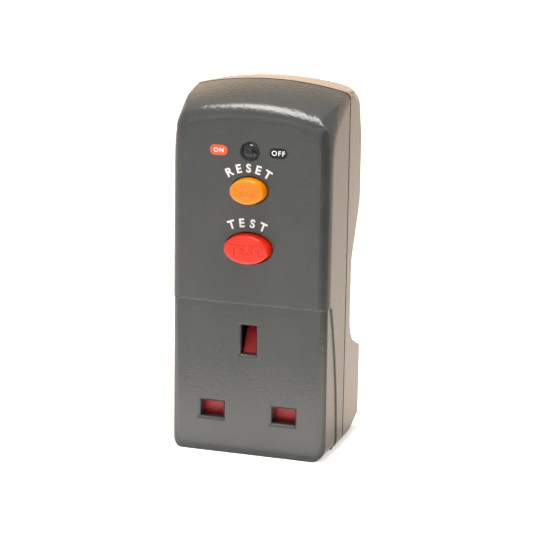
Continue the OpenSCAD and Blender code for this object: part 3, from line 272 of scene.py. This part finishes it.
def blendCorners(bm, corner):
    middle, reach = at(*corner["middle"]), at(*corner["reach"])

    def away(p):
        offset = Vector((abs(p.x), p.y, p.z)) - middle
        return max(abs(offset[i]) / reach[i] for i in range(3))

    def outward(face):
        side = 1 if face.calc_center_median().x > 0 else -1
        return face.normal.dot(Vector((side, corner["facing"], 1))) > 0

    for axis in range(3):
        count = round(2 * reach[axis] / (corner["grid"] * mm))
        for i in range(count + 1):
            for side in ((-1, 1) if axis == 0 else (1,)):
                place = Vector((0, 0, 0))
                place[axis] = side * (middle[axis] + reach[axis] * (2 * i / count - 1))
                normal = Vector((0, 0, 0))
                normal[axis] = 1
                faces = [f for f in bm.faces if outward(f) and any(away(v.co) < 1 for v in f.verts)]
                cutFaces(bm, faces, place, normal)
    if "sweep" in corner:
        bm.faces.sort(key=lambda f: f.calc_center_median().dot(Vector(corner["sweep"])))
    inside = [e for e in bm.edges if all(away(v.co) < blending["rim"] for v in e.verts)]
    bmesh.ops.dissolve_degenerate(bm, dist=blending["sliver"] * corner["grid"] * mm, edges=inside)
    zone = [(v, away(v.co)) for v in bm.verts if away(v.co) < 1 and all(outward(f) for f in v.link_faces)]
    for i in range(corner["rounds"]):
        inner = [v for v, far in zone if far < 1 - i / corner["rounds"]]
        bmesh.ops.smooth_vert(bm, verts=inner, factor=blending["pull"], use_axis_x=True, use_axis_y=True,
                              use_axis_z=True)


# Bows the sloping top outwards a little, as moulded tops are, so that light fades along it
def bowSlope(bm, slope):
    lean = math.radians(slope["lean"])
    out = Vector((0, -math.sin(lean), math.cos(lean)))
    front, back = slope["front"] * mm, slope["back"] * mm
    for i in range(1, slope["cuts"]):
        faces = [f for f in bm.faces
                 if f.normal.z > slope["upward"] and f.calc_center_median().z > slope["low"] * mm]
        cutFaces(bm, faces, (0, front + (back - front) * i / slope["cuts"], 0), (0, 1, 0))
    bm.normal_update()
    for v in bm.verts:
        part = (v.co.y - front) / (back - front)
        if 0 < part < 1 and v.co.z > slope["low"] * mm and v.normal.z > 0:
            arch = 4 * part * (1 - part)
            v.co += out * slope["rise"] * mm * arch * min(1, v.normal.z / slope["whole"])


# A CAD node again, with its flat faces whole and the edges that show rounded off.
# Some edges get a radius of their own: each is [test on the edge's middle, radius, steps].
def softened(nodeName, body, slot, seen, gap=0.0, special=(), slopes=(), corners=()):
    bm = copyNode(nodeName)
    joint = [v for v in bm.verts if abs(v.co.y - case["partingY"] * mm) < closeness["cut"] * mm]
    bmesh.ops.translate(bm, verts=joint, vec=at(0, -gap, 0))
    bmesh.ops.dissolve_limit(bm, angle_limit=math.radians(softening["flat"]), verts=bm.verts, edges=bm.edges)
    for test, size, steps in special:
        edges = [e for e in outerEdges(bm, seen) if test((e.verts[0].co + e.verts[1].co) / 2 / mm)]
        roundEdges(bm, edges, size, steps)
    edges = outerEdges(bm, seen)
    roundEdges(bm, edges, softening["round"], softening["steps"])
    for slope in slopes:
        bowSlope(bm, slope)
    for corner in corners:
        blendCorners(bm, corner)
    for v in bm.verts:  # nothing stands out past the case's width or its bottom face
        v.co.x = max(-case["halfWidth"] * mm, min(case["halfWidth"] * mm, v.co.x))
        v.co.z = max(case["bottomZ"] * mm, v.co.z)
    smooth(bm)
    piece = makePiece(nodeName + "_moulded", bm, body, finishes[slot])
    finishShading(piece, softening["crisp"])
    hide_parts(nodeName)
    print(nodeName, "rounded edges:", len(edges), "faces:", len(piece.data.polygons))
    return piece


# The lip over the socket panel, the window's rim and the joint with the rear cover
stepLip = [lambda p: abs(p.z - case["stepZ"]) < 0.1 and p.y < case["frontY"] + 3, 0.35, 5]
windowRim = [lambda p: math.hypot(p.x, p.z - case["windowZ"]) < 3.4 and p.y < case["frontY"] + 0.1, 0.42, 1]
jointEdge = [lambda p: p.y > case["partingY"] - 0.4, 0.6, 5]
# The top's slope, and the corners at the brow and at the back. Upward and whole are Z parts of a normal:
# the least for a face to be cut, and the least for a point to rise in full. The back corner's faces are put
# in order along a sweep, because a bevel's own order changes from run to run and would change that corner.
topSlope = {"front": -38.5, "back": -21.0, "low": 80.0, "lean": 16.5, "rise": 0.5, "cuts": 16,
            "upward": 0.1, "whole": 0.8}
browCorner = {"middle": (21.5, -38.0, 86.0), "reach": (6.0, 6.0, 7.0), "grid": 0.5, "facing": -1,
              "rounds": 110}
backCorner = {"middle": (22.0, -8.0, 89.0), "reach": (6.0, 6.0, 7.0), "grid": 0.6, "facing": 1,
              "rounds": 40, "sweep": (1.0, 7.3, 53.1)}
# Each cover rounds off the edges that don't face the other one
softened("front_cover", "case", "case_plastic", lambda p, out: out.y < 0.8, gap=0.25,
         special=[stepLip, windowRim, jointEdge], slopes=[topSlope], corners=[browCorner])
softened("rear_cover", "case", "case_plastic", lambda p, out: out.y > -0.8, corners=[backCorner])
softened("shutter", "shutter", "red_shutter", lambda p, out: True)

# Push buttons: the node's flange and stem, with an oval body whose face is soft-edged and faintly crowned
buttons = {
    "test_button": {"slot": "red_button", "word": "TEST", "height": 50.2, "oval": (14.0, 8.9),
                    "letter": 3.1, "pitch": 2.45, "drop": 0.1},
    "reset_button": {"slot": "orange_button", "word": "RESET", "height": 67.3, "oval": (10.8, 7.7),
                     "letter": 2.1, "pitch": 1.6, "drop": 0.4},
}
buttonFace = {"foot": 1.4, "overlap": 0.2, "sides": 72, "proud": 3.2, "taper": 0.2, "edge": 0.8, "steps": 5,
              "inset": 1.2, "crown": 0.1, "emboss": 0.3}


def makeButton(nodeName, values):
    bm = copyNode(nodeName)
    cutY = case["frontY"] + buttonFace["foot"] - buttonFace["overlap"]
    bmesh.ops.bisect_plane(bm, geom=bm.verts[:] + bm.edges[:] + bm.faces[:], clear_outer=True,
                           plane_co=at(0, cutY, 0), plane_no=(0, -1, 0))
    bmesh.ops.holes_fill(bm, edges=[e for e in bm.edges if e.is_boundary])
    wide, tall = values["oval"]
    centre = at(0, 0, values["height"])
    oval = bmesh.ops.create_circle(bm, segments=buttonFace["sides"], radius=mm / 2)["verts"]
    bmesh.ops.scale(bm, verts=oval, vec=(wide, tall, 1))
    bmesh.ops.rotate(bm, verts=oval, matrix=Matrix.Rotation(math.radians(90), 3, "X"))
    bmesh.ops.translate(bm, verts=oval, vec=centre + at(0, case["frontY"] + buttonFace["foot"], 0))
    ring = list({e for v in oval for e in v.link_edges})
    profile = [(0, 0)]
    for i in range(buttonFace["steps"] + 1):
        turn = math.radians(90 * i / buttonFace["steps"])
        profile.append((buttonFace["taper"] + buttonFace["edge"] * (1 - math.cos(turn)),
                        buttonFace["proud"] - buttonFace["edge"] * (1 - math.sin(turn))))
    lastInset, lastRise = 0, -buttonFace["foot"]
    for inset, rise in profile:
        scale = [(size - 2 * inset) / (size - 2 * lastInset) for size in (wide, tall)]
        ring = growRing(bm, ring, centre, scale, lastRise - rise)
        lastInset, lastRise = inset, rise
    face = bmesh.ops.edgeloop_fill(bm, edges=ring)["faces"]
    bmesh.ops.recalc_face_normals(bm, faces=bm.faces)
    bmesh.ops.inset_region(bm, faces=face, thickness=buttonFace["inset"] * mm, depth=buttonFace["crown"] * mm)
    smooth(bm)
    piece = makePiece(nodeName + "_moulded", bm, nodeName, finishes[values["slot"]])
    finishShading(piece)
    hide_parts(nodeName)


# Rows of letters, cut from Blender's own plain font and thickened. Print is partly sunk in the face.
lettering = {"bold": 0.034, "small": 0.020, "space": 1.25, "curve": 6, "weld": 0.001, "thick": 0.03,
             "sunk": 0.01}


def letterMesh(text, tall, thick):
    curve = bpy.data.curves.new(text, "FONT")
    curve.body = text
    curve.offset = lettering["bold" if len(text) == 1 else "small"]
    curve.space_character = lettering["space"]
    curve.extrude = 0.5  # one unit thick in all, scaled below
    curve.resolution_u = lettering["curve"]
    holder = bpy.data.objects.new(text, curve)
    bpy.context.scene.collection.objects.link(holder)
    bpy.context.view_layer.update()
    mesh = bpy.data.meshes.new_from_object(holder.evaluated_get(bpy.context.evaluated_depsgraph_get()))
    bpy.data.objects.remove(holder)
    low = [min(v.co[i] for v in mesh.vertices) for i in range(3)]
    high = [max(v.co[i] for v in mesh.vertices) for i in range(3)]
    size = tall * mm / (high[1] - low[1])
    middle = Vector((low[0] + high[0], low[1] + high[1], low[2] + high[2])) / 2
    mesh.transform(Matrix.Diagonal((size, size, thick * mm, 1.0)) @ Matrix.Translation(-middle))
    return mesh


# Letters stood up against a face: each is [text, height, x, z, turn in degrees]
def makeLetters(name, body, material, letters, y, thick):
    bm = bmesh.new()
    for text, tall, x, z, turn in letters:
        mesh = letterMesh(text, tall, thick)
        mesh.transform(Matrix.Translation(at(x, y, z)) @ Matrix.Rotation(math.radians(turn), 4, "Y")
                       @ Matrix.Rotation(math.radians(90), 4, "X"))
        bm.from_mesh(mesh)
        bpy.data.meshes.remove(mesh)
    bmesh.ops.remove_doubles(bm, verts=bm.verts, dist=lettering["weld"] * mm)
    return makePiece(name, bm, body, material)


for nodeName, values in buttons.items():
    makeButton(nodeName, values)
    first = -(len(values["word"]) - 1) / 2
    letters = [[text, values["letter"], (first + i) * values["pitch"], values["height"] - values["drop"], 0]
               for i, text in enumerate(values["word"])]
    faceY = case["frontY"] - buttonFace["proud"] - buttonFace["crown"]
    word = makeLetters(nodeName + "_word", nodeName, finishes[values["slot"]], letters,
                       faceY, 2 * buttonFace["emboss"])
print("buttons made:", len(buttons))

# White words printed in an arc over each button
arcs = {
    "reset_label": {"word": "RESET", "tall": 2.6, "middle": (-0.3, 73.85), "radius": 12.0, "step": 14.4},
    "test_label": {"word": "TEST", "tall": 2.6, "middle": (-0.5, 57.65), "radius": 13.8, "step": 13.6},
}
printY = case["frontY"] + lettering["sunk"]
for name, arc in arcs.items():
    first = -(len(arc["word"]) - 1) / 2
    letters = []
    for i, text in enumerate(arc["word"]):
        turn = (first + i) * arc["step"]
        x = arc["middle"][0] + arc["radius"] * math.sin(math.radians(turn))
        z = arc["middle"][1] - arc["radius"] * (1 - math.cos(math.radians(turn)))
        letters.append([text, arc["tall"], x, z, turn])
    makeLetters(name, "case", inks["white"], letters, printY - lettering["thick"] / 2, lettering["thick"])

# Rounded marks either side of the window, each with its white word
marks = {
    "on_mark": {"word": "ON", "tall": 1.35, "place": (-9.5, 78.55), "ink": "orange"},
    "off_mark": {"word": "OFF", "tall": 1.5, "place": (8.6, 78.8), "ink": "black"},
}
markShape = {"width": 5.4, "tall": 3.05, "sides": 48, "wordProud": 0.03}
for name, mark in marks.items():
    x, z = mark["place"]
    radius = markShape["tall"] / 2
    bm = bmesh.new()
    bmesh.ops.create_circle(bm, cap_ends=True, segments=markShape["sides"], radius=radius * mm)
    for side in (-1, 1):
        ends = [v for v in bm.verts if v.co.x * side > closeness["merge"] * mm]
        bmesh.ops.translate(bm, verts=ends, vec=at(side * (markShape["width"] / 2 - radius), 0, 0))
    bmesh.ops.rotate(bm, verts=bm.verts, matrix=Matrix.Rotation(math.radians(90), 3, "X"))
    bmesh.ops.translate(bm, verts=bm.verts, vec=at(x, printY, z))
    grown = bmesh.ops.extrude_face_region(bm, geom=bm.faces[:])
    top = [v for v in grown["geom"] if isinstance(v, bmesh.types.BMVert)]
    bmesh.ops.translate(bm, verts=top, vec=at(0, -lettering["thick"], 0))
    bmesh.ops.recalc_face_normals(bm, faces=bm.faces)
    makePiece(name, bm, "case", inks[mark["ink"]])
    makeLetters(name + "_word", "case", inks["white"], [[mark["word"], mark["tall"], x, z, 0]],
                case["frontY"] - markShape["wordProud"], lettering["thick"])
print("print made:", len(arcs) + len(marks))

# Clear window over the indicator: the node's flange, a sunk rim and a dome that is the cap of a ball.
# Cut and rim are depths behind the front face, and the cap's half angle is in degrees.
window = {"cut": 1.3, "rim": 0.4, "foot": 2.4, "cap": 60, "steps": 8}


def makeWindow():
    bm = copyNode("indicator_lens")
    cut = bmesh.ops.bisect_plane(bm, geom=bm.verts[:] + bm.edges[:] + bm.faces[:], clear_outer=True,
                                 plane_co=at(0, case["frontY"] + window["cut"], 0), plane_no=(0, -1, 0))
    ring = [e for e in cut["geom_cut"] if isinstance(e, bmesh.types.BMEdge)]
    centre = at(0, 0, case["windowZ"])
    outer = max(v.co.x for e in ring for v in e.verts) / mm
    profile = [(outer, window["rim"]), (window["foot"], window["rim"])]
    cap = math.radians(window["cap"])
    ball = window["foot"] / math.sin(cap)
    for i in range(1, window["steps"]):
        turn = cap * (1 - i / window["steps"])
        rise = ball * (math.cos(turn) - math.cos(cap))
        profile.append((ball * math.sin(turn), window["rim"] - rise))
    lastRadius, lastDepth = outer, window["cut"]
    for radius, depth in profile:
        ring = growRing(bm, ring, centre, 2 * [radius / lastRadius], depth - lastDepth)
        lastRadius, lastDepth = radius, depth
    bmesh.ops.edgeloop_fill(bm, edges=ring)
    bmesh.ops.recalc_face_normals(bm, faces=bm.faces)
    smooth(bm)
    piece = makePiece("indicator_window", bm, "case", finishes["clear_lens"])
    finishShading(piece)
    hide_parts("indicator_lens")


makeWindow()
print("window made")

# Coil springs, smooth copies of their nodes, each with its joint, axis, and fixed end and travel in
# millimetres
springs = {
    "test_spring": {"joint": "test_press", "along": 1, "fixed": -28.0, "travel": 2.0},
    "reset_spring": {"joint": "reset_press", "along": 1, "fixed": -28.0, "travel": 3.0},
    "shutter_spring": {"joint": "shutter_drop", "along": 2, "fixed": -8.0, "travel": 7.0},
    "contact_springs": {"joint": "contact_close", "along": 1, "fixed": -26.0, "travel": 2.5},
    "plunger_spring": {"joint": "trip_pull", "along": 2, "fixed": 77.5, "travel": 2.5},
}
for nodeName, spring in springs.items():
    bm = copyNode(nodeName)
    smooth(bm)
    piece = makePiece(nodeName + "_coil", bm, "case", finishes["spring_steel"])
    finishShading(piece)
    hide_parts(nodeName)
    axis = Vector((0, 0, 0))
    axis[spring["along"]] = 1
    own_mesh(piece)
print("springs made:", len(springs))

# Camera at the photograph's viewing angle: places in millimetres, angles in degrees
cameraSet = {"target": (1.507, -24.0, 40.106), "azimuth": 17.813, "elevation": 13.99, "roll": 0.942,
             "distance": 700.0, "lens": 156.96, "sensor": 36.0, "near": 10.0}


def placeCamera(values):
    azimuth, elevation, roll = [math.radians(values[k]) for k in ("azimuth", "elevation", "roll")]
    back = Vector((math.sin(azimuth) * math.cos(elevation), -math.cos(azimuth) * math.cos(elevation),
                   math.sin(elevation)))
    data = bpy.data.cameras.new("camera")
    data.lens = values["lens"]
    data.sensor_width = values["sensor"]
    data.clip_start = values["near"] * mm
    camera = bpy.data.objects.new("camera", data)
    bpy.context.scene.collection.objects.link(camera)
    turn = back.to_track_quat("Z", "Y").to_matrix() @ Matrix.Rotation(roll, 3, "Z")
    place = at(*values["target"]) + back * values["distance"] * mm
    camera.matrix_world = Matrix.Translation(place) @ turn.to_4x4()
    bpy.context.scene.camera = camera


placeCamera(cameraSet)

# Soft studio light: places and sizes in metres, power in watts
lamps = {
    "softbox_above": {"place": (-0.10, -0.12, 0.95), "aim": (0, -0.02, 0.04), "size": (0.75, 0.34),
                      "power": 12.0, "colour": "#fffdf8"},
    "warm_wall_behind": {"place": (0.0, 1.0, 0.38), "aim": (0, -0.02, 0.04), "size": (1.6, 0.75),
                         "power": 2.8, "colour": "#ffc486"},
    "front_fill": {"place": (-0.35, -1.0, 0.45), "aim": (0, -0.02, 0.04), "size": (0.8, 0.6),
                   "power": 1.35, "colour": "#f6fbff"},
    "card_below": {"place": (0.0, -0.074, -0.0122), "aim": (0, -0.074, 1.0), "size": (0.30, 0.06),
                   "power": 0.09, "colour": "#fff8f0"},
}
for name, lamp in lamps.items():
    data = bpy.data.lights.new(name, "AREA")
    data.shape = "RECTANGLE"
    data.size, data.size_y = lamp["size"]
    data.energy = lamp["power"]
    data.color = linear(lamp["colour"])[:3]
    lampObject = bpy.data.objects.new(name, data)
    bpy.context.scene.collection.objects.link(lampObject)
    lampObject.visible_camera = False
    back = Vector(lamp["place"]) - Vector(lamp["aim"])
    turn = back.to_track_quat("Z", "Y").to_matrix()
    lampObject.matrix_world = Matrix.Translation(lamp["place"]) @ turn.to_4x4()


# Rays that show the white surroundings: the camera's own, and those mirrored or let through
def shownRays(tree):
    path = addNode(tree, "LightPath")
    mirrored = addNode(tree, "Math", {"operation": "ADD"}, {0: path.outputs["Is Glossy Ray"],
                                                            1: path.outputs["Is Transmission Ray"]})
    shown = addNode(tree, "Math", {"operation": "ADD"}, {0: path.outputs["Is Camera Ray"],
                                                         1: mirrored.outputs[0]})
    return shown.outputs[0]


# White surroundings, dimmer as a light than as they show
surroundings = {"colour": "#ffffff", "light": 0.35, "shown": 1.0}
world = bpy.data.worlds.new("studio")
bpy.context.scene.world = world
world.use_nodes = True
tree = world.node_tree
tree.nodes.clear()
level = addNode(tree, "MapRange", {"To Min": surroundings["light"], "To Max": surroundings["shown"]},
                {"Value": shownRays(tree)})
sky = addNode(tree, "Background", {"Color": linear(surroundings["colour"])},
              {"Strength": level.outputs["Result"]})
addNode(tree, "OutputWorld", links={"Surface": sky.outputs["Background"]})


# A sheet of card in the studio, lit by the lamps and lifted towards white where it is seen or mirrored
def makeSheet(name, values):
    material = bpy.data.materials.new(name + "_card")
    material.use_nodes = True
    tree = material.node_tree
    tree.nodes.clear()
    card = addNode(tree, "BsdfDiffuse", {"Color": linear(values["colour"])})
    level = addNode(tree, "MapRange", {"To Max": values["lift"]}, {"Value": shownRays(tree)})
    lift = addNode(tree, "Emission", {"Color": linear(values["colour"])},
                   {"Strength": level.outputs["Result"]})
    both = addNode(tree, "AddShader", links={0: card.outputs["BSDF"], 1: lift.outputs["Emission"]})
    addNode(tree, "OutputMaterial", links={"Surface": both.outputs["Shader"]})
    bm = bmesh.new()
    for corner in values["corners"]:
        bmesh.ops.create_vert(bm, co=at(*corner))
    bmesh.ops.contextual_create(bm, geom=bm.verts[:])
    mesh = bpy.data.meshes.new(name)
    bm.to_mesh(mesh)
    bm.free()
    mesh.materials.append(material)
    sheet = bpy.data.objects.new(name, mesh)
    bpy.context.scene.collection.objects.link(sheet)
    return sheet


# The white floor, which keeps the object's shadow. The others show only where the case mirrors them: a grey
# flag that keeps the upright corner dark, and a cream cove behind. Corners in millimetres.
floorZ = case["bottomZ"] - 0.02
coveZ = case["bottomZ"] + 0.1
sheets = {
    "white_floor": {"colour": "#f0f0f0", "lift": 0.65, "shown": True,
                    "corners": [(-3000, -3000, floorZ), (3000, -3000, floorZ), (3000, 3000, floorZ),
                                (-3000, 3000, floorZ)]},
    "grey_flag": {"colour": "#808080", "lift": 0.0, "shown": False,
                  "corners": [(130, -400, coveZ), (130, -30, coveZ), (130, -30, 300), (130, -400, 300)]},
    "cove_floor": {"colour": "#f9eadb", "lift": 0.42, "shown": False,
                   "corners": [(-1200, -30, coveZ), (1200, -30, coveZ), (1200, 1100, coveZ),
                               (-1200, 1100, coveZ)]},
    "cove_wall": {"colour": "#f9eadb", "lift": 0.42, "shown": False,
                  "corners": [(-1200, 1100, coveZ), (1200, 1100, coveZ), (1200, 1100, 1700),
                              (-1200, 1100, 1700)]},
}
for name, values in sheets.items():
    sheet = makeSheet(name, values)
    sheet.visible_camera = values["shown"]
    sheet.visible_diffuse = values["shown"]
    sheet.visible_shadow = values["shown"]
print("studio set:", len(lamps), "lamps,", len(sheets), "sheets")

bpy.context.scene.view_settings.view_transform = "Standard"
